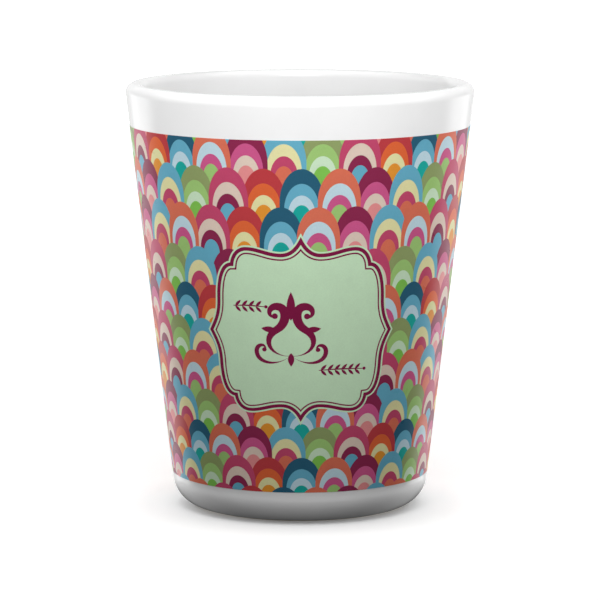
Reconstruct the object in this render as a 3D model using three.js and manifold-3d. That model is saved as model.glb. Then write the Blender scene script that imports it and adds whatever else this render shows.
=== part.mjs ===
// A white ceramic shot glass with a full-wrap print and a label panel on its front.
// Millimetres, +Z up. The origin is the centre of the foot on the table, and the label faces -Y.
// The cup is a turned body under a thin coat of glaze. The print lies on the glaze, round the wall.
import * as THREE from "three";
import { mergeVertices } from "three/addons/utils/BufferGeometryUtils.js";
import Module from "manifold-3d";

// ---- Driving dimensions: the cup ----
const HEIGHT = 60;
const WALL_SLOPE = 0.118; // outside radius gained per millimetre of height
const CAVITY_SLOPE = 0.132; // the same inside, so the wall thickens downwards
const FOOT_LINE_RADIUS = 17.6; // where the outside wall line would meet the table
const LIP_RADIUS = 1.3; // the lip is fully rounded, so the wall there is twice this
const CORNER_RADIUS = 4.2; // outside, between the wall and the foot
const CAVITY_FLOOR = 8; // the thick bottom, from the table
const CAVITY_CORNER_RADIUS = 5;
const FOOT_RING_WIDTH = 2.4; // the flat that stands on the table
const RECESS_DEPTH = 1.2; // of the underside, inside the foot ring
const RECESS_SLANT = 0.8; // how far the recess wall leans in
const GLAZE_THICKNESS = 0.25;
const BARE_ANGLE = THREE.MathUtils.degToRad(24); // how far up the foot corner the glaze stops
const UNDERSIDE_MARGIN = 0.5; // bare clay between the recess wall and the patch of glaze

// ---- Driving dimensions: the print ----
const PRINT_LOW = 4.8;
const PRINT_HIGH = 54.1;
const PRINT_THICKNESS = 0.12;
const PRINT_LIFT = 0.02; // keeps the print's back clear of the glaze
const SEAM_WIDTH = 0.5; // bare glaze between the ends of the wrap, at the back
const LABEL_GAP = 0.3; // between the label panel and the wrap round it

// The artwork is set out in columns. A column is one 28th of the way round at every height, so it
// narrows with the wall, and heights in the artwork are counted in the same shrinking columns.
const COLUMNS = 28;
const LABEL_DEPTH = 5.35; // columns from the top edge of the print down to the label's centre
const LABEL_MARGIN = 0.1; // columns from the middle of the label's border to its outside edge
const FRONT_WIDENING_FOOT = THREE.MathUtils.degToRad(7); // how far the artwork spreads in front
const FRONT_WIDENING_RATE = THREE.MathUtils.degToRad(0.15); // and how much less at each millimetre up

// ---- How finely round shapes are divided ----
const TURN_SEGMENTS = 60;
const LIP_STEPS = 4; // on each side of its top
const CORNER_STEPS = 5;
const LABEL_CURVE_STEPS = 8;

const wallAngle = Math.atan(WALL_SLOPE);
const cavityAngle = Math.atan(CAVITY_SLOPE);
const wallRadius = (z) => FOOT_LINE_RADIUS + WALL_SLOPE * z;
const columnAngle = (2 * Math.PI) / COLUMNS;

const wasm = await Module();
wasm.setup();

// ---- Outlines: lists of [radius, height] ----

// Points on an arc, from one angle to another. Angle 0 points away from the axis, 90 degrees points up.
function arc([r, z], radius, from, to, steps) {
  return Array.from({ length: steps + 1 }, (_, i) => {
    const angle = from + ((to - from) * i) / steps;
    return [r + radius * Math.cos(angle), z + radius * Math.sin(angle)];
  });
}

const lipCentre = [
  wallRadius(HEIGHT - LIP_RADIUS) - LIP_RADIUS / Math.cos(wallAngle),
  HEIGHT - LIP_RADIUS,
];
const cornerCentre = [
  wallRadius(CORNER_RADIUS) - CORNER_RADIUS / Math.cos(wallAngle),
  CORNER_RADIUS,
];
const cavityRadius = (z) =>
  lipCentre[0] - LIP_RADIUS / Math.cos(cavityAngle) + CAVITY_SLOPE * (z - lipCentre[1]);
const cavityCornerHeight = CAVITY_FLOOR + CAVITY_CORNER_RADIUS;
const cavityCornerCentre = [
  cavityRadius(cavityCornerHeight) - CAVITY_CORNER_RADIUS / Math.cos(cavityAngle),
  cavityCornerHeight,
];

// The cup's skin, from the foot corner up the outside, over the lip and down the inside to the axis.
// The straight walls are the lines between the arcs. Depth 0 is the outside of the glaze.
function skin(depth) {
  const down = -Math.PI / 2;
  return [
    ...arc(cornerCentre, CORNER_RADIUS - depth, down + BARE_ANGLE, -wallAngle, CORNER_STEPS),
    ...arc(lipCentre, LIP_RADIUS - depth, -wallAngle, Math.PI / 2, LIP_STEPS),
    ...arc(lipCentre, LIP_RADIUS - depth, Math.PI / 2, Math.PI - cavityAngle, LIP_STEPS).slice(1),
    ...arc(cavityCornerCentre, CAVITY_CORNER_RADIUS + depth, -cavityAngle, down, CORNER_STEPS),
    [0, CAVITY_FLOOR - depth],
  ];
}

// Turns an outline about +Z. It starts and ends on the axis, or closes on itself.
function turned(outline) {
  const points = outline.map(([r, z]) => new THREE.Vector2(r, z));
  return new THREE.LatheGeometry(points, TURN_SEGMENTS).rotateX(Math.PI / 2);
}

// ---- Solids for cutting ----

function toSolid(geometry) {
  const bare = new THREE.BufferGeometry();
  bare.setAttribute("position", geometry.getAttribute("position"));
  bare.setIndex(geometry.getIndex());
  const merged = mergeVertices(bare, 1e-4);
  return new wasm.Manifold(
    new wasm.Mesh({
      numProp: 3,
      vertProperties: merged.getAttribute("position").array,
      triVerts: new Uint32Array(merged.getIndex().array),
    }),
  );
}

function toGeometry(solid) {
  const mesh = solid.getMesh();
  const geometry = new THREE.BufferGeometry();
  geometry.setAttribute("position", new THREE.BufferAttribute(mesh.vertProperties, 3));
  geometry.setIndex(new THREE.BufferAttribute(mesh.triVerts, 1));
  geometry.computeVertexNormals();
  return geometry;
}

// ---- The label's shape ----

// A quarter of the border's middle line in columns, from the top tip to the right-hand tip: a dip, a
// lobe, a notch at the corner, and the side. Each row is a Bezier curve's two handles and its end.
function labelQuarter() {
  const quarter = new THREE.Path();
  quarter.moveTo(0, 2.68);
  quarter.bezierCurveTo(0.12, 2.44, 0.28, 2.27, 0.55, 2.27);
  quarter.bezierCurveTo(0.9, 2.27, 1.15, 2.43, 1.48, 2.43);
  quarter.bezierCurveTo(1.75, 2.43, 1.9, 2.2, 1.92, 1.97);
  quarter.bezierCurveTo(2.17, 1.98, 2.34, 1.65, 2.36, 1.0);
  quarter.bezierCurveTo(2.365, 0.55, 2.45, 0.36, 2.65, 0);
  return quarter.getPoints(LABEL_CURVE_STEPS);
}

// The whole closed line, clockwise: each later quarter mirrors the one before and runs it backwards.
function labelLine() {
  const right = labelQuarter();
  const below = right.slice(0, -1).reverse();
  const half = [...right, ...below.map(({ x, y }) => new THREE.Vector2(x, -y))];
  return [...half, ...half.slice(1, -1).reverse().map(({ x, y }) => new THREE.Vector2(-x, y))];
}

// Moves each side of a closed clockwise line outwards by a distance, with square corners.
function grown(line, distance) {
  return line.map((point, i) => {
    const before = point.clone().sub(line.at(i - 1)).normalize();
    const after = line[(i + 1) % line.length].clone().sub(point).normalize();
    const outward = new THREE.Vector2(-before.y - after.y, before.x + after.x);
    return point.clone().addScaledVector(outward, distance / (1 + before.dot(after)));
  });
}

// Where a point of the label comes to lie on the wall, seen from the front.
function onWall({ x, y }) {
  const shrink = columnAngle * Math.sin(wallAngle);
  const radius = wallRadius(PRINT_HIGH) * Math.exp(-shrink * (LABEL_DEPTH - y));
  const z = (radius - FOOT_LINE_RADIUS) / WALL_SLOPE;
  const widening = FRONT_WIDENING_FOOT - FRONT_WIDENING_RATE * z;
  const angle = x * columnAngle + widening * Math.sin(x * columnAngle);
  return new THREE.Vector2(radius * Math.sin(angle), z);
}

// A straight block of the label's shape, from the axis out past the front of the wall.
function labelBlock(margin) {
  const outline = grown(labelLine(), margin).map(onWall);
  const options = { depth: 2 * FOOT_LINE_RADIUS, bevelEnabled: false };
  return toSolid(new THREE.ExtrudeGeometry(new THREE.Shape(outline), options).rotateX(Math.PI / 2));
}

// ---- Sub-parts ----

// The fired clay, with a bare foot ring and a recessed underside.
function ceramicBody() {
  const ringOutside = cornerCentre[0];
  const ringInside = ringOutside - FOOT_RING_WIDTH;
  return turned([
    [0, RECESS_DEPTH],
    [ringInside - RECESS_SLANT, RECESS_DEPTH],
    [ringInside, 0],
    [ringOutside, 0],
    ...skin(GLAZE_THICKNESS),
  ]);
}

// The glaze over the outside, the lip and the inside, in one piece. It stops short of the foot ring.
function glazeCoat() {
  return turned([...skin(GLAZE_THICKNESS).reverse(), ...skin(0)]);
}

// The patch of glaze in the recess.
function undersideGlaze() {
  const radius = cornerCentre[0] - FOOT_RING_WIDTH - RECESS_SLANT - UNDERSIDE_MARGIN;
  return turned([
    [0, RECESS_DEPTH - GLAZE_THICKNESS],
    [radius - GLAZE_THICKNESS, RECESS_DEPTH - GLAZE_THICKNESS],
    [radius, RECESS_DEPTH],
    [0, RECESS_DEPTH],
  ]);
}

// The whole printed band, before the label is cut from it.
function printBand() {
  const corner = (z, lift) => [wallRadius(z) + lift, z];
  return toSolid(
    turned([
      corner(PRINT_LOW, PRINT_LIFT),
      corner(PRINT_LOW, PRINT_LIFT + PRINT_THICKNESS),
      corner(PRINT_HIGH, PRINT_LIFT + PRINT_THICKNESS),
      corner(PRINT_HIGH, PRINT_LIFT),
      corner(PRINT_LOW, PRINT_LIFT),
    ]),
  );
}

// The wrap: the band without the label's place, and open at the seam behind.
function wrapPrint() {
  const slit = new THREE.BoxGeometry(SEAM_WIDTH, 2 * FOOT_LINE_RADIUS, 2 * HEIGHT);
  slit.translate(0, 2 * FOOT_LINE_RADIUS, 0);
  return toGeometry(printBand().subtract(labelBlock(LABEL_MARGIN)).subtract(toSolid(slit)));
}

// The label panel, a little smaller than its place in the wrap.
function labelPrint() {
  const gap = LABEL_GAP / wallRadius(HEIGHT / 2) / columnAngle;
  return toGeometry(printBand().intersect(labelBlock(LABEL_MARGIN - gap)));
}

// ---- The assembly ----

function subPart(name, geometry, color, roughness) {
  const material = new THREE.MeshStandardMaterial({ color, roughness, metalness: 0 });
  const mesh = new THREE.Mesh(geometry, material);
  mesh.name = name;
  return mesh;
}

const shotGlass = new THREE.Group();
shotGlass.add(
  subPart("ceramic_body", ceramicBody(), 0xe9e4da, 0.8),
  subPart("glaze_coat", glazeCoat(), 0xf6f6f5, 0.08),
  subPart("underside_glaze", undersideGlaze(), 0xf6f6f5, 0.12),
  subPart("wrap_print", wrapPrint(), 0xc0506a, 0.2),
  subPart("label_print", labelPrint(), 0xb4d0ac, 0.2),
);

export default shotGlass;
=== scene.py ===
"""The looks of a white ceramic shot glass with a printed wrap and a label panel.

Metres, +Z up, the label faces -Y. The clay and its glaze are turned pieces. The print is drawn flat, in
columns, as overlapping shapes; it is then cut into the areas that show and bent round the wall.
"""

import math

import bmesh
import bpy
from mathutils import Euler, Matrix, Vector
from mathutils.geometry import delaunay_2d_cdt, interpolate_bezier


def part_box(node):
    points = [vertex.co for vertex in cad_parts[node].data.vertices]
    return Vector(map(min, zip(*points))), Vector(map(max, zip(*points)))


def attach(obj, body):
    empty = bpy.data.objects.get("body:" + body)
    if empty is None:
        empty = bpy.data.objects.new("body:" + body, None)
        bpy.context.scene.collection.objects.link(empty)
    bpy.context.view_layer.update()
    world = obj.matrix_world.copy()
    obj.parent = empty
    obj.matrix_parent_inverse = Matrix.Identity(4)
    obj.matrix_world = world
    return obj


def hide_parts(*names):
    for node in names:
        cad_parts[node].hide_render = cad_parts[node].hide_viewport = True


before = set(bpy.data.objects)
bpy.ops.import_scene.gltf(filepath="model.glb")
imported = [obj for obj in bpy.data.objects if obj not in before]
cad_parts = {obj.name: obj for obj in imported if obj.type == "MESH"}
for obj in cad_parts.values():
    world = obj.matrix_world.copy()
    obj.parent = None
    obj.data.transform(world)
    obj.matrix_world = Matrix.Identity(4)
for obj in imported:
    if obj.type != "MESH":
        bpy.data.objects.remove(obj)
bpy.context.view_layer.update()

MM = 0.001

# ---- The cup's dimensions, as the CAD model has them ----
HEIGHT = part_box("glaze_coat")[1].z
PRINT_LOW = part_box("wrap_print")[0].z
PRINT_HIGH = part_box("wrap_print")[1].z
WALL_SLOPE = 0.118
CAVITY_SLOPE = 0.132
FOOT_LINE_RADIUS = 17.6 * MM
LIP_RADIUS = 1.3 * MM
CORNER_RADIUS = 4.2 * MM
CAVITY_FLOOR = 8 * MM
CAVITY_CORNER_RADIUS = 5 * MM
FOOT_RING_WIDTH = 2.4 * MM
RECESS_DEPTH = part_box("underside_glaze")[1].z
RECESS_SLANT = 0.8 * MM
UNDERSIDE_MARGIN = 0.5 * MM
GLAZE_THICKNESS = 0.25 * MM
BARE_ANGLE = math.radians(24)

# ---- Finer shapes that only the visual model has ----
TURN_SEGMENTS = 288
LIP_STEPS = 24
CORNER_STEPS = 14  # outside, under the glaze and over it
FOOT_CORNER_STEPS = 4  # of that corner where the clay is bare
CAVITY_CORNER_STEPS = 16
GLAZE_EDGE_STEPS = 8
EDGE_ROUNDING = 0.35 * MM  # of the bare clay's edges
GLAZE_LINE_SWING = math.radians(2.2)  # how far the glaze's lower edge wanders up and down
PRINT_BOTTOM = 0.012 * MM  # the print's back and front, above the glaze
PRINT_TOP = 0.045 * MM

# ---- The artwork, in columns: a column is one 28th of the way round at every height ----
COLUMNS = 28
COLUMN_ANGLE = 2 * math.pi / COLUMNS
WIDENING_FOOT = math.radians(7)  # the artwork spreads at the front, at the foot
WIDENING_RATE = math.radians(0.15) / MM  # less of it further up
SEAM_HALF_WIDTH = 0.05
STRIP_WIDTH = 0.25  # the print is cut into strips this wide before it is bent
TOLERANCE = 1e-6  # in columns: points of the artwork nearer than this are one point
NEARLY_ZERO = 1e-9  # in columns: no further than this past one of the label's middle lines is on it
FLAT_ANGLE = 0.002  # edges that bend less than this, in radians, are dissolved

wall_angle = math.atan(WALL_SLOPE)
cavity_angle = math.atan(CAVITY_SLOPE)


def wall_radius(z):
    return FOOT_LINE_RADIUS + WALL_SLOPE * z


shrink = COLUMN_ANGLE * math.sin(wall_angle)  # how fast a column narrows on the way down
print_depth = math.log(wall_radius(PRINT_HIGH) / wall_radius(PRINT_LOW)) / shrink


# ---- Materials ----


class Material:
    """A Principled material, with short names for the nodes that these finishes need."""

    def __init__(self, name, roughness, ior=1.5):
        self.result = bpy.data.materials.new(name)
        self.result.use_nodes = True
        self.tree = self.result.node_tree
        self.shader = self.tree.nodes["Principled BSDF"]
        self.shader.inputs["Roughness"].default_value = roughness
        self.shader.inputs["IOR"].default_value = ior
        self.place = self.tree.nodes.new("ShaderNodeTexCoord").outputs["Object"]

    def noise(self, size, detail=2.0, roughness=0.5):
        node = self.tree.nodes.new("ShaderNodeTexNoise")
        node.inputs["Scale"].default_value = 1 / size
        node.inputs["Detail"].default_value = detail
        node.inputs["Roughness"].default_value = roughness
        self.tree.links.new(self.place, node.inputs["Vector"])
        return node.outputs["Fac"]

    def spots(self, spacing, radius):
        """1 in small soft-edged spots scattered about one spacing apart, and 0 elsewhere."""
        node = self.tree.nodes.new("ShaderNodeTexVoronoi")
        node.inputs["Scale"].default_value = 1 / spacing
        self.tree.links.new(self.place, node.inputs["Vector"])
        return self.ranged(node.outputs["Distance"], radius / spacing, 0.6 * radius / spacing, 0, 1)

    def ranged(self, value, low, high, to_low, to_high):
        node = self.tree.nodes.new("ShaderNodeMapRange")
        settings = {"From Min": low, "From Max": high, "To Min": to_low, "To Max": to_high}
        if low > high:
            settings = {"From Min": high, "From Max": low, "To Min": to_high, "To Max": to_low}
        for socket, number in settings.items():
            node.inputs[socket].default_value = number
        self.tree.links.new(value, node.inputs["Value"])
        return node.outputs["Result"]

    def maths(self, operation, first, second):
        node = self.tree.nodes.new("ShaderNodeMath")
        node.operation = operation
        for socket, value in zip(node.inputs, (first, second)):
            if isinstance(value, (int, float)):
                socket.default_value = value
            else:
                self.tree.links.new(value, socket)
        return node.outputs["Value"]

    def blend(self, amount, first, second):
        """A colour from the first, where the amount is 0, to the second, where it is 1."""
        node = self.tree.nodes.new("ShaderNodeMix")
        node.data_type = "RGBA"
        self.tree.links.new(amount, node.inputs["Factor"])
        # The node has a set of sockets of the same names for each data type. These are the colours'.
        first_colour, second_colour, result = node.inputs[6], node.inputs[7], node.outputs[2]
        for socket, value in ((first_colour, first), (second_colour, second)):
            if isinstance(value, tuple):
                socket.default_value = (*value, 1)
            else:
                self.tree.links.new(value, socket)
        return result

    def distance(self):
        """How far a point is from the object's origin."""
        node = self.tree.nodes.new("ShaderNodeVectorMath")
        node.operation = "LENGTH"
        self.tree.links.new(self.place, node.inputs[0])
        return node.outputs["Value"]

    def colour(self, output):
        self.tree.links.new(output, self.shader.inputs["Base Color"])

    def roughness(self, output):
        self.tree.links.new(output, self.shader.inputs["Roughness"])

    def bump(self, height, depth):
        """Raises the surface by a height from 0 to 1 times a depth in metres."""
        node = self.tree.nodes.new("ShaderNodeBump")
        node.inputs["Strength"].default_value = 1
        node.inputs["Distance"].default_value = depth
        self.tree.links.new(height, node.inputs["Height"])
        self.tree.links.new(node.outputs["Normal"], self.shader.inputs["Normal"])


def linear(red, green, blue):
    """A colour given as the usual 0 to 255 screen values, as the shader counts it."""
    return tuple(
        c / 12.92 if c <= 0.04045 else ((c + 0.055) / 1.055) ** 2.4
        for c in (red / 255, green / 255, blue / 255)
    )


def shaded(colour, factor):
    return tuple(min(1.0, c * factor) for c in colour)


def white_glaze():
    """Glossy white, with faint clouding, a few pinholes and a slightly uneven gloss."""
    glaze = Material("white_glaze", roughness=0.07, ior=1.52)
    clouds = glaze.noise(size=9 * MM, detail=3)
    white = linear(249, 249, 249)
    clouded = glaze.blend(glaze.ranged(clouds, 0.35, 0.65, 0, 1), shaded(white, 0.975), white)
    pinholes = glaze.spots(spacing=7 * MM, radius=0.11 * MM)
    glaze.colour(glaze.blend(pinholes, clouded, linear(196, 190, 180)))
    glaze.roughness(glaze.ranged(glaze.noise(size=3 * MM, detail=4), 0.3, 0.7, 0.05, 0.09))
    ripple = glaze.noise(size=2.6 * MM, detail=1)
    pits = glaze.maths("MULTIPLY", pinholes, 2.0)  # a pinhole goes twice as deep as the ripple is high
    glaze.bump(glaze.maths("SUBTRACT", ripple, pits), 0.006 * MM)
    return glaze.result


def bare_clay():
    """Unglazed fired clay: warm off-white, matt and gritty, with small dark specks."""
    clay = Material("bare_clay", roughness=0.85)
    body = clay.blend(clay.noise(size=2 * MM, detail=5), linear(214, 205, 190), linear(238, 231, 219))
    specks = clay.spots(spacing=1.3 * MM, radius=0.1 * MM)
    clay.colour(clay.blend(clay.maths("MULTIPLY", specks, 0.6), body, linear(150, 132, 110)))
    grit = clay.noise(size=0.25 * MM, detail=6, roughness=0.7)
    clay.roughness(clay.ranged(grit, 0.3, 0.7, 0.75, 0.95))
    clay.bump(grit, 0.05 * MM)
    return clay.result


INK_GLOSS = 0.2  # the shader's own scale, on which ordinary gloss is 0.5
INK_VARIATION = 0.035  # how much lighter and darker an ink gets
INK_GRAIN_SHARE = 0.6  # of that variation, and the rest is mottling


def ink(name, colour):
    """A fired-on ink with a fine grain and slow mottling. It tints what it reflects, and its gloss varies."""
    print_ink = Material("ink_" + name, roughness=0.3)
    print_ink.shader.inputs["Specular IOR Level"].default_value = INK_GLOSS
    print_ink.shader.inputs["Specular Tint"].default_value = (*colour, 1)
    grain = print_ink.noise(size=0.22 * MM, detail=3, roughness=0.6)
    mottling = print_ink.noise(size=2.4 * MM, detail=3)
    fine = print_ink.maths("MULTIPLY", grain, INK_GRAIN_SHARE)
    slow = print_ink.maths("MULTIPLY", mottling, 1 - INK_GRAIN_SHARE)
    spread = print_ink.ranged(print_ink.maths("ADD", fine, slow), 0.35, 0.65, 0, 1)
    darker, lighter = shaded(colour, 1 - INK_VARIATION), shaded(colour, 1 + INK_VARIATION)
    print_ink.colour(print_ink.blend(spread, darker, lighter))
    print_ink.roughness(print_ink.ranged(mottling, 0.3, 0.7, 0.27, 0.36))
    print_ink.bump(grain, 0.0012 * MM)
    return print_ink.result


INK_COLOURS = {
    "rose": (195, 75, 110),
    "blush": (225, 205, 190),
    "plum": (140, 45, 80),
    "sky": (105, 175, 200),
    "red": (190, 65, 70),
    "orange": (225, 105, 60),
    "straw": (230, 225, 170),
    "amber": (230, 150, 55),
    "navy": (45, 95, 120),
    "ice": (195, 220, 230),
    "teal": (35, 170, 160),
    "coral": (220, 115, 90),
    "pink": (205, 90, 140),
    "lime": (160, 200, 120),
    "salmon": (230, 145, 145),
    "olive": (145, 160, 105),
    "mint": (205, 230, 200),
    "leaf": (130, 195, 85),
    "label_green": (205, 235, 200),
    "label_plum": (130, 30, 70),
}
inks = {name: ink(name, linear(*colour)) for name, colour in INK_COLOURS.items()}


# ---- Turned pieces ----


def arc(centre, radius, start, end, steps):
    """Points on an arc, as (radius, height). Angle 0 points away from the axis, and 90 degrees up."""
    angles = [start + (end - start) * i / steps for i in range(steps + 1)]
    return [(centre[0] + radius * math.cos(a), centre[1] + radius * math.sin(a)) for a in angles]


def rounded(before, corner, after, radius, steps=6):
    """Points that round off a corner between two straight stretches."""
    corner = Vector(corner)
    to_before = (Vector(before) - corner).normalized()
    to_after = (Vector(after) - corner).normalized()
    half = to_before.angle(to_after) / 2
    centre = corner + (to_before + to_after).normalized() * (radius / math.sin(half))
    first = corner + to_before * (radius / math.tan(half)) - centre
    sweep = first.angle_signed(corner + to_after * (radius / math.tan(half)) - centre)
    points = []
    for i in range(steps + 1):
        turned_to = first.copy()
        turned_to.rotate(Euler((0, 0, -sweep * i / steps)).to_matrix().to_2x2())
        points.append(tuple(centre + turned_to))
    return points


lip_centre = (
    wall_radius(HEIGHT - LIP_RADIUS) - LIP_RADIUS / math.cos(wall_angle),
    HEIGHT - LIP_RADIUS,
)
corner_centre = (
    wall_radius(CORNER_RADIUS) - CORNER_RADIUS / math.cos(wall_angle),
    CORNER_RADIUS,
)


def cavity_radius(z):
    return lip_centre[0] - LIP_RADIUS / math.cos(cavity_angle) + CAVITY_SLOPE * (z - lip_centre[1])


cavity_corner_height = CAVITY_FLOOR + CAVITY_CORNER_RADIUS
cavity_corner_centre = (
    cavity_radius(cavity_corner_height) - CAVITY_CORNER_RADIUS / math.cos(cavity_angle),
    cavity_corner_height,
)


def skin(depth, bare_angle):
    """The cup's skin at a depth below its outside, from the foot over the lip to the cavity's axis."""
    down = -math.pi / 2
    return [
        *arc(corner_centre, CORNER_RADIUS - depth, down + bare_angle, -wall_angle, CORNER_STEPS),
        *arc(lip_centre, LIP_RADIUS - depth, -wall_angle, math.pi - cavity_angle, LIP_STEPS),
        *arc(
            cavity_corner_centre,
            CAVITY_CORNER_RADIUS + depth,
            -cavity_angle,
            down,
            CAVITY_CORNER_STEPS,
        ),
        (0, CAVITY_FLOOR - depth),
    ]


def turned(name, outline_at, material):
    """Turns an outline about +Z. It runs from axis to axis, and may differ from angle to angle."""
    shape = bmesh.new()
    rings = []
    for i in range(TURN_SEGMENTS):
        angle = 2 * math.pi * i / TURN_SEGMENTS
        rings.append([(r, z, angle) for r, z in outline_at(angle)])
    count = len(rings[0])
    on_axis = {
        j: shape.verts.new((0, 0, rings[0][j][1])) for j in range(count) if rings[0][j][0] == 0
    }
    grid = [
        [
            on_axis.get(j) or shape.verts.new((r * math.cos(angle), r * math.sin(angle), z))
            for j, (r, z, angle) in enumerate(ring)
        ]
        for ring in rings
    ]
    for here, beyond in zip(grid, grid[1:] + grid[:1]):
        for j in range(count - 1):
            corners = [here[j], beyond[j], beyond[j + 1], here[j + 1]]
            shape.faces.new(dict.fromkeys(corners))
    return finished(name, shape, [material])


def finished(name, shape, materials):
    """Makes a smooth object of a bmesh, with its faces pointing out, and frees the bmesh."""
    bmesh.ops.recalc_face_normals(shape, faces=shape.faces)
    mesh = bpy.data.meshes.new(name)
    shape.to_mesh(mesh)
    shape.free()
    for material in materials:
        mesh.materials.append(material)
    mesh.shade_smooth()
    piece = bpy.data.objects.new(name, mesh)
    bpy.context.scene.collection.objects.link(piece)
    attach(piece, "root")
    return piece


def clay_body():
    """The fired clay under the glaze, with softened edges on its bare foot ring."""
    outside = corner_centre[0]
    inside = outside - FOOT_RING_WIDTH
    recess_edge = (inside - RECESS_SLANT, RECESS_DEPTH)
    start = (0, RECESS_DEPTH)
    down = -math.pi / 2
    outline = [
        start,
        *rounded(start, recess_edge, (inside, 0), EDGE_ROUNDING),
        *rounded(recess_edge, (inside, 0), (outside, 0), EDGE_ROUNDING),
        (outside, 0),
        *arc(corner_centre, CORNER_RADIUS, down, BARE_ANGLE / 2 + down, FOOT_CORNER_STEPS)[1:],
        *skin(GLAZE_THICKNESS, BARE_ANGLE),
    ]
    piece = turned("clay_body", lambda angle: outline, bare_clay())
    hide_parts("ceramic_body")


def glaze_line_wander(angle):
    """How far the glaze's lower edge strays from its mean, from -1 to 1, at an angle round the cup."""
    return 0.5 * math.sin(3 * angle + 1) + 0.3 * math.sin(7 * angle) + 0.2 * math.sin(16 * angle + 2)


def glaze_coat(material):
    """The glaze over the outside, the lip and the inside. Its lower edge is a soft, wandering bead."""

    def outline_at(angle):
        bare_angle = BARE_ANGLE + GLAZE_LINE_SWING * glaze_line_wander(angle)
        direction = bare_angle - math.pi / 2
        bead_radius = GLAZE_THICKNESS / 2
        bead_distance = CORNER_RADIUS - bead_radius
        bead_centre = (
            corner_centre[0] + bead_distance * math.cos(direction),
            corner_centre[1] + bead_distance * math.sin(direction),
        )
        bead = arc(bead_centre, bead_radius, direction - math.pi, direction, GLAZE_EDGE_STEPS)[1:-1]
        return [*reversed(skin(GLAZE_THICKNESS, bare_angle)), *bead, *skin(0, bare_angle)]

    piece = turned("glaze_coat_fine", outline_at, material)
    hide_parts("glaze_coat")


def underside_glaze(material):
    """The patch of glaze in the recess, with a rounded rim."""
    radius = corner_centre[0] - FOOT_RING_WIDTH - RECESS_SLANT - UNDERSIDE_MARGIN
    low = RECESS_DEPTH - GLAZE_THICKNESS
    rim_centre = (radius - GLAZE_THICKNESS, RECESS_DEPTH)
    rim = arc(rim_centre, GLAZE_THICKNESS, -math.pi / 2, 0, GLAZE_EDGE_STEPS)
    outline = [(0, low), *rim, (0, RECESS_DEPTH)]
    piece = turned("underside_glaze_fine", lambda angle: outline, material)
    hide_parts("underside_glaze")


# ---- The artwork's shapes: x in columns, y in columns above the print's top edge ----

ROW_STEPS = (1.07, 1.03, 1.02, 1.19)  # from each row of scallops down to the next, over and over
FIRST_ROW_TOP = 1.37  # above the print's top edge, which cuts through the first two rows
ROW_SHIFTS = (0, 0.04, 0, -0.05, 0, -0.06, 0, 0.05)  # the rows are a little out of line
PATTERN_OFFSET = 0.045
SCALLOP_DEPTH = 1.9
# The rings of a scallop: how far each starts below its top, its half width and its crown's height.
RINGS = ((0, 0.58, 0.88), (0.39, 0.46, 0.70), (0.70, 0.36, 0.54), (0.96, 0.255, 0.38))
CROWN_STEPS = 22
# Each family's four inks, from the outer ring in.
FAMILIES = {
    "a": ("rose", "blush", "plum", "sky"),
    "b": ("red", "orange", "straw", "amber"),
    "c": ("navy", "sky", "ice", "teal"),
    "d": ("coral", "ice", "pink", "lime"),
    "e": ("plum", "pink", "blush", "salmon"),
    "f": ("sky", "straw", "rose", "coral"),
    "g": ("olive", "lime", "mint", "leaf"),
}
# In each of the eight rows that repeat: the family at column 0, and whether the families run on or back.
ROW_STARTS = ((2, 1), (5.5, 1), (2, 1), (2.5, 1), (2, -1), (5.5, -1), (2, -1), (2.5, -1))
# Within a row, the families lie over each other in this order, the lowest first.
OVERLAP_ORDER = "gbecafd"
OVERLAP_ORDER_EVERY_FOURTH = "gcbafed"


def scallop(x, top):
    """The four nested outlines of one scallop, counter-clockwise."""
    outlines = []
    for drop, half_width, crown in RINGS:
        middle = top - drop - crown
        angles = [math.pi * i / CROWN_STEPS for i in range(CROWN_STEPS + 1)]
        curve = [(x + half_width * math.cos(a), middle + crown * math.sin(a)) for a in angles]
        foot = top - SCALLOP_DEPTH
        outlines.append([(x - half_width, foot), (x + half_width, foot), *curve])
    return outlines


def scallop_rows():
    """Every scallop of the wrap, as (outline, family, ink), the lowest first."""
    shapes = []
    top = FIRST_ROW_TOP
    row = 0
    while top > -print_depth:
        first_family, run = ROW_STARTS[row % len(ROW_STARTS)]
        order = OVERLAP_ORDER_EVERY_FOURTH if row % 4 == 1 else OVERLAP_ORDER
        in_line = 0.5 * (row % 2)
        in_row = []
        for i in range(-COLUMNS // 2 - 1, COLUMNS // 2 + 2):
            column = i + in_line
            family = list(FAMILIES)[round(first_family + run * column) % len(FAMILIES)]
            if family == "g" and row % 4 == 3:
                family = "d"  # every fourth row has coral scallops where the olive ones would be
            in_row.append((order.index(family), column, family))
        for _, column, family in sorted(in_row):
            x = column + ROW_SHIFTS[row % len(ROW_SHIFTS)] + PATTERN_OFFSET
            for outline, name in zip(scallop(x, top), FAMILIES[family]):
                shapes.append((outline, "wrap_family_" + family, name))
        top -= ROW_STEPS[row % len(ROW_STEPS)]
        row += 1
    return shapes


LABEL_CENTRE = Vector((0.02, -5.35))
LABEL_CURVE_STEPS = 14
# Distances from the middle of the label's heavy line to the edges of its lines.
LABEL_EDGE = 0.1
HEAVY_LINE = 0.052
FINE_LINE_OUTSIDE = -0.108
FINE_LINE_INSIDE = -0.152


def curve_points(start, pieces, steps):
    """A run of Bezier curves as points. Each piece is its two handles and its end."""
    points = [Vector(start)]
    for first_handle, second_handle, end in pieces:
        flat = [Vector((*p, 0)) for p in (points[-1], first_handle, second_handle, end)]
        points += [p.to_2d() for p in interpolate_bezier(*flat, steps + 1)[1:]]
    return points


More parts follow.
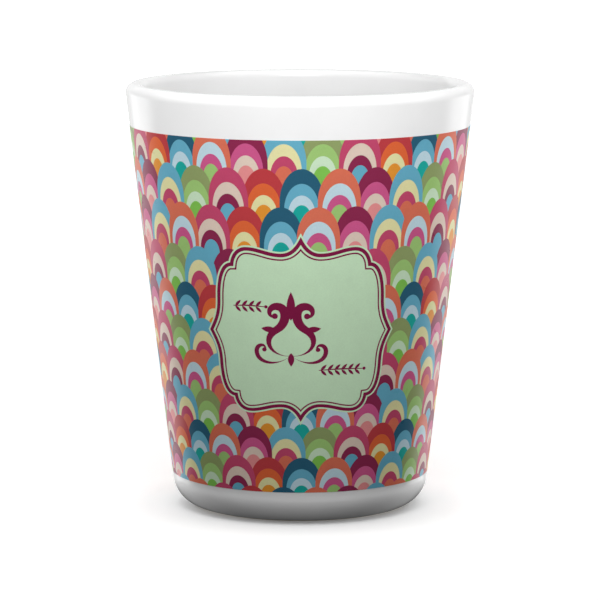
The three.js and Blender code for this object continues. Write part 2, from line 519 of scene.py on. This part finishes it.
def label_quarter():
    """The middle of the label's heavy line, from its top tip to its right one: dip, lobe, notch and side."""
    return curve_points(
        (0, 2.68),
        [
            ((0.12, 2.44), (0.28, 2.27), (0.55, 2.27)),
            ((0.9, 2.27), (1.15, 2.43), (1.48, 2.43)),
            ((1.75, 2.43), (1.9, 2.2), (1.92, 1.97)),
            ((2.17, 1.98), (2.34, 1.65), (2.36, 1.0)),
            ((2.365, 0.55), (2.45, 0.36), (2.65, 0)),
        ],
        LABEL_CURVE_STEPS,
    )


def grown_label(distance):
    """The label's whole outline, counter-clockwise, this far outside the middle of its heavy line."""
    line = label_quarter()
    before_tip = Vector((-line[1].x, line[1].y))
    after_tip = Vector((line[-2].x, -line[-2].y))
    moved = []
    for before, point, after in zip([before_tip, *line], line, [*line[1:], after_tip]):
        arriving = (point - before).normalized()
        leaving = (after - point).normalized()
        outward = Vector((-arriving.y - leaving.y, arriving.x + leaving.x))
        moved.append(point + outward * distance / (1 + arriving.dot(leaving)))
    first = next(i for i, p in enumerate(moved) if p.x > NEARLY_ZERO)
    last = max(i for i, p in enumerate(moved) if p.y > NEARLY_ZERO)
    top = crossing(moved[first - 1], moved[first], 0)
    side = crossing(moved[last + 1], moved[last], 1)
    quarter = moved[first : last + 1]
    right = [top, *quarter, side, *[Vector((p.x, -p.y)) for p in reversed(quarter)]]
    bottom = Vector((0, -top.y))
    return [*reversed(right), *[Vector((-p.x, p.y)) for p in right[1:]], bottom]


def crossing(outer, inner, axis):
    """Where the line between two points crosses one of the label's two middle lines."""
    return outer.lerp(inner, outer[axis] / (outer[axis] - inner[axis]))


SCROLL_STEPS = 12
LEAF_STEPS = 8
THINNEST_SHARE = 0.04  # no stroke gets thinner than this share of its widest
SWELLING = 1.3  # above 1, a stroke stays thin for longer at its ends


def stroke(centre_line, widest, start_share=0.0, end_share=0.0):
    """A stroke that swells from its start to its widest and thins again. Shares are of the widest."""
    count = len(centre_line) - 1
    left = []
    right = []
    for i, point in enumerate(centre_line):
        ahead = (centre_line[min(i + 1, count)] - centre_line[max(i - 1, 0)]).normalized()
        ends = start_share + (end_share - start_share) * i / count
        swell = math.sin(math.pi * i / count) ** SWELLING
        half = widest / 2 * max(THINNEST_SHARE, ends + (1 - ends) * swell)
        side = Vector((-ahead.y, ahead.x)) * half
        left.append(point + side)
        right.append(point - side)
    return right + left[::-1]


def disc(centre, radius, steps=18):
    angles = [2 * math.pi * i / steps for i in range(steps)]
    return [centre + radius * Vector((math.cos(a), math.sin(a))) for a in angles]


def mirrored(outline):
    return [Vector((-p.x, p.y)) for p in reversed(outline)]


def leaf(start, angle, length, width):
    """A pointed leaf from its stalk to its tip, widest nearer the stalk."""
    bulge = -0.66 * width
    side = [((0.25 * length, bulge), (0.65 * length, bulge), (length, 0))]
    half = curve_points((0, 0), side, LEAF_STEPS)
    outline = half + [Vector((p.x, -p.y)) for p in reversed(half[1:-1])]
    along = Vector((math.cos(angle), math.sin(angle)))
    across = Vector((-along.y, along.x))
    return [Vector(start) + along * p.x + across * p.y for p in outline]


def scroll_ornament():
    """A plain scrollwork motif of two mirrored volutes round a bud, in place of lettering."""
    volute = curve_points(
        (0.04, -0.78),
        [
            ((0.62, -0.78), (0.84, -0.24), (0.38, 0.04)),
            ((0.1, 0.22), (0.08, 0.7), (0.38, 0.72)),
            ((0.62, 0.73), (0.68, 0.42), (0.46, 0.4)),
        ],
        SCROLL_STEPS,
    )
    tendril = curve_points(
        (0.1, -0.84),
        [((0.5, -1.12), (1.0, -0.98), (0.98, -0.62)), ((0.96, -0.4), (0.7, -0.4), (0.72, -0.58))],
        SCROLL_STEPS,
    )
    right = [
        stroke(volute, 0.26, end_share=0.25),
        disc(Vector((0.445, 0.43)), 0.085),
        stroke(tendril, 0.13, end_share=0.3),
        disc(Vector((0.755, -0.585)), 0.065),
        leaf((0.4, 0), math.radians(8), 0.44, 0.18),
    ]
    bud = leaf((0, 0.3), math.radians(90), 0.85, 0.24)
    drop = leaf((0, -0.68), math.radians(-90), 0.42, 0.18)
    return right + [mirrored(outline) for outline in right] + [bud, drop]


LEAF_SPACING = 0.2
LEAF_ANGLE = math.radians(46)


def sprig_ornament(pairs):
    """A level sprig: a thin stem with pairs of leaves, and a bud at its end."""
    length = LEAF_SPACING * (pairs + 0.6)
    stem = curve_points((-length / 2, 0), [((0, 0.03), (0, 0.03), (length / 2, 0))], LEAF_STEPS)
    bud = disc(Vector((length / 2 + 0.03, 0)), 0.05, 12)
    shapes = [stroke(stem, 0.045, start_share=0.5, end_share=0.5), bud]
    for i in range(pairs):
        foot = (-length / 2 + LEAF_SPACING * (i + 0.3), 0)
        for side in (1, -1):
            shapes.append(leaf(foot, side * LEAF_ANGLE, 0.24, 0.085))
    return shapes


def placed(outlines, x, y):
    return [[p + Vector((x, y)) for p in outline] for outline in outlines]


def label_shapes():
    """The label's lines and its ornament, as (outline, piece, ink), the lowest first."""
    layers = [
        (LABEL_EDGE, "label_margin", "label_green"),
        (HEAVY_LINE, "label_border", "label_plum"),
        (-HEAVY_LINE, "label_margin", "label_green"),
        (FINE_LINE_OUTSIDE, "label_rule", "label_plum"),
        (FINE_LINE_INSIDE, "label_field", "label_green"),
    ]
    shapes = [(grown_label(distance), piece, name) for distance, piece, name in layers]
    ornaments = [
        *placed(scroll_ornament(), -0.27, 0.08),
        *placed(sprig_ornament(pairs=4), -1.45, 0.78),
        *placed(sprig_ornament(pairs=6), 1.17, -1.14),
    ]
    shapes += [(outline, "label_ornament", "label_plum") for outline in ornaments]
    return [([p + LABEL_CENTRE for p in outline], piece, name) for outline, piece, name in shapes]


# ---- From flat shapes to pieces on the wall ----


def visible_areas(shapes):
    """A flat bmesh of what shows of the overlapping shapes, one material number to each (piece, ink)."""
    points = []
    faces = []
    for outline, _, _ in shapes:
        faces.append(list(range(len(points), len(points) + len(outline))))
        points += [Vector(p) for p in outline]
    verts, _, triangles, _, _, sources = delaunay_2d_cdt(points, [], faces, 1, TOLERANCE, True)
    looks = list(dict.fromkeys((piece, name) for _, piece, name in shapes[1:]))
    flat = bmesh.new()
    corners = [flat.verts.new((v.x, v.y, 0)) for v in verts]
    for triangle, covering in zip(triangles, sources):
        if 0 in covering:
            face = flat.faces.new([corners[i] for i in triangle])
            face.material_index = looks.index(shapes[max(covering)][1:])
    loose = [v for v in flat.verts if not v.link_faces]
    bmesh.ops.delete(flat, geom=loose, context="VERTS")
    bmesh.ops.dissolve_limit(
        flat, angle_limit=FLAT_ANGLE, verts=flat.verts, edges=flat.edges, delimit={"MATERIAL"}
    )
    return flat, looks


def cut_into_strips(flat):
    """Cuts the flat print along upright lines, so that it bends round the wall in small steps."""
    half = COLUMNS / 2
    for i in range(1, round(COLUMNS / STRIP_WIDTH)):
        geometry = [*flat.verts, *flat.edges, *flat.faces]
        place = (i * STRIP_WIDTH - half, 0, 0)
        bmesh.ops.bisect_plane(flat, geom=geometry, dist=TOLERANCE, plane_co=place, plane_no=(1, 0, 0))
    bmesh.ops.triangulate(flat, faces=flat.faces)


def on_wall(x, y, lift):
    """Where a point of the artwork lies, and the way the wall faces there."""
    radius = wall_radius(PRINT_HIGH) * math.exp(y * shrink)
    z = (radius - FOOT_LINE_RADIUS) / WALL_SLOPE
    angle = x * COLUMN_ANGLE
    angle += (WIDENING_FOOT - WIDENING_RATE * z) * math.sin(angle)
    level_part = math.cos(wall_angle)
    out = Vector((level_part * math.sin(angle), -level_part * math.cos(angle), -math.sin(wall_angle)))
    place = Vector((radius * math.sin(angle), -radius * math.cos(angle), z))
    return place + out * lift, out


def print_piece(name, faces, materials):
    """Bends flat faces round the wall as a thin closed shell, with the cone's own normals on its front."""
    front = {}
    back = {}
    places = []
    outward = []
    for vert in dict.fromkeys(v for face in faces for v in face.verts):
        for side, lift in ((front, PRINT_TOP), (back, PRINT_BOTTOM)):
            place, out = on_wall(vert.co.x, vert.co.y, lift)
            side[vert] = len(places)
            places.append(place)
            outward.append(out)
    polygons = []
    numbers = []
    normals = []
    inside = set(faces)
    for face in faces:
        corners = [loop.vert for loop in face.loops]
        polygons += [[front[v] for v in corners], [back[v] for v in reversed(corners)]]
        numbers += [face.material_index] * 2
        normals += [outward[front[v]] for v in corners]
        normals += [-outward[back[v]] for v in reversed(corners)]
        for loop in face.loops:
            if sum(other in inside for other in loop.edge.link_faces) == 1:
                start, end = loop.vert, loop.link_loop_next.vert
                wall = [back[start], back[end], front[end], front[start]]
                sideways = (places[wall[1]] - places[wall[0]]).cross(places[wall[3]] - places[wall[0]])
                polygons.append(wall)
                numbers.append(face.material_index)
                normals += [sideways.normalized()] * 4
    mesh = bpy.data.meshes.new(name)
    mesh.from_pydata(places, [], polygons)
    used = sorted(set(numbers))
    for number in used:
        mesh.materials.append(materials[number])
    mesh.polygons.foreach_set("material_index", [used.index(n) for n in numbers])
    mesh.normals_split_custom_set(normals)
    piece = bpy.data.objects.new(name, mesh)
    bpy.context.scene.collection.objects.link(piece)
    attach(piece, "root")
    return piece


def printed_wrap_and_label():
    seam = COLUMNS / 2 - SEAM_HALF_WIDTH
    band = [(-seam, -print_depth), (seam, -print_depth), (seam, 0), (-seam, 0)]
    shapes = [(band, "", ""), *scallop_rows(), *label_shapes()]
    flat, looks = visible_areas(shapes)
    cut_into_strips(flat)
    by_piece = {}
    for face in flat.faces:
        by_piece.setdefault(looks[face.material_index][0], []).append(face)
    materials = [inks[name] for _, name in looks]
    for name, faces in by_piece.items():
        piece = print_piece(name, faces, materials)
        is_label = name.startswith("label")
        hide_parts("label_print" if is_label else "wrap_print")
    flat.free()


# ---- The studio: nothing from here to the calls is part of the cup ----

LENS = 213.2  # millimetres, as the sensor's width is
SENSOR_WIDTH = 36
CAMERA_PLACE = (0, -0.4993, 0.1014)
CAMERA_DOWN = math.radians(8.25)

FLOOR_HALF_SIDE = 6
FLOOR_WHITE = 0.9
FLOOR_GLOW_AND_PAINTED_SHADE = (0.34, 0.7)  # glow near the cup and far from it; the dimmer near value is painted shade round the cup
# Where the painted shade round the cup fades into the far glow
PAINTED_SHADE_REACH = (0.04, 0.25)
PAINTED_CONTACT_SHADOW_SHARE = 0.3  # of that glow, right beside the foot: a painted contact shadow
# Where the painted contact shadow beside the foot fades out
PAINTED_CONTACT_SHADOW_REACH = (0.016, 0.025)
# The painted shadow sheet: a black disc under the cup that only reflections see, in place of the shadow the
# glaze would mirror
SHADOW_SHEET_RADIUS = 0.026
SHADOW_SHEET_REACH = (0.018, 0.026)  # where the painted shadow sheet goes from black to as pale as the backdrop

# The surroundings are told apart by direction: Z is how far a direction points up, Y how far it points
# back. Each pair is where a part of them starts and where it has its full strength.
SKY_STRENGTH = 2.25
SKY_UP = (0.78, 0.95)
GROUND_STRENGTH = 0.055
BACKDROP_STRENGTH = 0.88
BACKDROP_BACK = (0.6, 0.9)
BACKDROP_TOP = (0.6, 0.4)
FLOOR_LINE = (-0.5, -0.36)  # the backdrop and the strips end here
STRIP_STRENGTH = 1.7  # the brighter strips to the left and right of the backdrop
STRIP_START = (0.36, 0.56)
STRIP_END = (0.84, 0.93)  # where they begin to fade, and where they are gone
STRIP_TOP = (0.1, -0.05)
DIFFUSE_SHARE = 0.4  # how much of the backdrop and strips falls on the cup as light

RING_LIGHTS = 12
RING_RADIUS = 0.10
RING_HEIGHT = 0.074
RING_SIZE = (0.055, 0.05)
RING_POWER = 0.0047
RING_BACK_SHARE = 0.45  # the lights beside and behind the cup are weaker
RING_FRONT_EDGE = -0.01  # those in front lie further forward than this
FRONT_DISTANCE = 0.4
FRONT_HEIGHT = 0.05
FRONT_SIZE = (0.3, 0.08)
FRONT_POWER = 0.2
KEY_PLACE = (0, -0.11, 0.18)
KEY_SIZE = (0.08, 0.05)
KEY_POWER = 0.018
BEAM_SPREAD = math.radians(90)
SIDE_DISTANCE = 0.12
SIDE_AZIMUTH = math.radians(126)
SIDE_HEIGHT = -0.015
SIDE_TARGET = (0, 0, 0.02)
SIDE_SIZE = (0.04, 0.04)
SIDE_POWER = 0.1


def aimed(place, target):
    return (Vector(target) - Vector(place)).to_track_quat("-Z", "Y").to_euler()


def soft_light(name, place, target, size, power, spread=math.pi, in_reflections=True):
    """A rectangular soft light, itself out of sight. A smaller spread keeps more of its light in the beam."""
    lamp = bpy.data.lights.new(name, "AREA")
    lamp.shape = "RECTANGLE"
    lamp.size, lamp.size_y = size
    lamp.energy = power
    lamp.spread = spread
    light = bpy.data.objects.new(name, lamp)
    light.location = place
    light.rotation_euler = aimed(place, target)
    light.visible_camera = False
    light.visible_glossy = in_reflections
    bpy.context.scene.collection.objects.link(light)


def camera():
    """In front of the label and a little above, with a long lens."""
    lens = bpy.data.cameras.new("camera")
    lens.sensor_width = SENSOR_WIDTH
    lens.lens = LENS
    view = bpy.data.objects.new("camera", lens)
    view.location = CAMERA_PLACE
    view.rotation_euler = (math.pi / 2 - CAMERA_DOWN, 0, 0)
    bpy.context.scene.collection.objects.link(view)
    bpy.context.scene.camera = view


def glowing_sheet(name, mesh, paint, glow):
    """Places a matt sheet that glows but lights nothing."""
    paint.shader.inputs["Specular IOR Level"].default_value = 0
    paint.shader.inputs["Emission Color"].default_value = (1, 1, 1, 1)
    paint.tree.links.new(glow, paint.shader.inputs["Emission Strength"])
    mesh.materials.append(paint.result)
    sheet = bpy.data.objects.new(name, mesh)
    sheet.visible_diffuse = False
    sheet.visible_shadow = False
    bpy.context.scene.collection.objects.link(sheet)
    return sheet


def floor():
    """A plain white table top that only the camera sees. Its glow carries painted shade near the cup and a
    painted contact shadow beside the foot, where it is dimmest.
    """
    side = FLOOR_HALF_SIDE
    corners = [(-side, -side, 0), (side, -side, 0), (side, side, 0), (-side, side, 0)]
    mesh = bpy.data.meshes.new("floor")
    mesh.from_pydata(corners, [], [(0, 1, 2, 3)])
    paint = Material("floor_paint", roughness=1.0)
    paint.shader.inputs["Base Color"].default_value = (FLOOR_WHITE, FLOOR_WHITE, FLOOR_WHITE, 1)
    distance = paint.distance()
    # Painted contact shadow beside the foot, and painted shade that fades away from the cup
    painted_contact_shadow = paint.ranged(distance, *PAINTED_CONTACT_SHADOW_REACH, PAINTED_CONTACT_SHADOW_SHARE, 1)
    glow_and_painted_shade = paint.ranged(distance, *PAINTED_SHADE_REACH, *FLOOR_GLOW_AND_PAINTED_SHADE)
    table = glowing_sheet("floor", mesh, paint, paint.maths("MULTIPLY", painted_contact_shadow, glow_and_painted_shade))
    table.visible_glossy = False


def painted_shadow_sheet():
    """A dark disc under the cup that only reflections see, a painted shadow: the glaze mirrors it as it would
    the shadow it stands in.
    """
    shape = bmesh.new()
    bmesh.ops.create_circle(shape, cap_ends=True, radius=SHADOW_SHEET_RADIUS, segments=64)
    mesh = bpy.data.meshes.new("painted_shadow_sheet")
    shape.to_mesh(mesh)
    shape.free()
    paint = Material("painted_shadow_paint", roughness=1.0)
    paint.shader.inputs["Base Color"].default_value = (0, 0, 0, 1)
    # Painted shadow: black at the middle, as pale as the backdrop at its edge
    glow = paint.ranged(paint.distance(), *SHADOW_SHEET_REACH, 0, BACKDROP_STRENGTH)
    shadow_sheet = glowing_sheet("painted_shadow_sheet", mesh, paint, glow)
    shadow_sheet.visible_camera = False


def surroundings():
    """Soft light from overhead, dark below and in front, a pale backdrop behind, on plain white."""
    world = bpy.data.worlds.new("studio")
    bpy.context.scene.world = world
    world.use_nodes = True
    tree = world.node_tree
    background = tree.nodes["Background"]
    background.inputs["Color"].default_value = (1, 1, 1, 1)
    parts = tree.nodes.new("ShaderNodeSeparateXYZ")
    tree.links.new(tree.nodes.new("ShaderNodeTexCoord").outputs["Generated"], parts.inputs[0])

    def rise(axis, start, full, strength=1):
        """0 before the start of a range of directions, and the strength past its end."""
        node = tree.nodes.new("ShaderNodeMapRange")
        settings = {"From Min": start, "From Max": full, "To Min": 0, "To Max": strength}
        if start > full:
            settings = {"From Min": full, "From Max": start, "To Min": strength, "To Max": 0}
        for socket, number in settings.items():
            node.inputs[socket].default_value = number
        tree.links.new(parts.outputs[axis], node.inputs["Value"])
        return node.outputs["Result"]

    def combined(operation, first, second):
        node = tree.nodes.new("ShaderNodeMath")
        node.operation = operation
        tree.links.new(first, node.inputs[0])
        if isinstance(second, float):
            node.inputs[1].default_value = second
        else:
            tree.links.new(second, node.inputs[1])
        return node.outputs["Value"]

    def product(first, second):
        return combined("MULTIPLY", first, second)

    sky = rise("Z", *SKY_UP, SKY_STRENGTH)
    above_floor = rise("Z", *FLOOR_LINE)
    backdrop = product(rise("Y", *BACKDROP_BACK, BACKDROP_STRENGTH), above_floor)
    backdrop = product(backdrop, rise("Z", *BACKDROP_TOP))
    started = rise("Y", *STRIP_START, STRIP_STRENGTH)
    ended = rise("Y", *STRIP_END, STRIP_STRENGTH)
    strips = product(combined("SUBTRACT", started, ended), product(above_floor, rise("Z", *STRIP_TOP)))
    behind = combined("MAXIMUM", backdrop, strips)

    rays = tree.nodes.new("ShaderNodeLightPath").outputs
    seen_in_gloss = product(behind, rays["Is Glossy Ray"])
    behind = combined("MAXIMUM", product(behind, DIFFUSE_SHARE), seen_in_gloss)
    strength = combined("MAXIMUM", rays["Is Camera Ray"], GROUND_STRENGTH)
    for part in (sky, behind):
        strength = combined("MAXIMUM", strength, part)
    tree.links.new(strength, background.inputs["Strength"])


def lights():
    """A ring round the rim, a long light in front, a key above it, and low lights behind each side."""
    rim = (0, 0, HEIGHT)
    for i in range(RING_LIGHTS):
        angle = 2 * math.pi * i / RING_LIGHTS
        place = (RING_RADIUS * math.sin(angle), -RING_RADIUS * math.cos(angle), RING_HEIGHT)
        power = RING_POWER * (RING_BACK_SHARE if place[1] > RING_FRONT_EDGE else 1)
        soft_light(f"ring_{i}", place, rim, RING_SIZE, power, BEAM_SPREAD, in_reflections=False)
    front = (0, -FRONT_DISTANCE, FRONT_HEIGHT)
    soft_light("front", front, (0, 0, FRONT_HEIGHT), FRONT_SIZE, FRONT_POWER)
    soft_light("key", KEY_PLACE, rim, KEY_SIZE, KEY_POWER, BEAM_SPREAD)
    for side in (-1, 1):
        angle = side * SIDE_AZIMUTH
        place = (SIDE_DISTANCE * math.sin(angle), -SIDE_DISTANCE * math.cos(angle), SIDE_HEIGHT)
        soft_light(f"side_{side}", place, SIDE_TARGET, SIDE_SIZE, SIDE_POWER, in_reflections=False)


camera()
surroundings()
lights()
floor()
painted_shadow_sheet()
glaze = white_glaze()
clay_body()
glaze_coat(glaze)
underside_glaze(glaze)
printed_wrap_and_label()

bpy.context.scene.view_settings.view_transform = "Standard"
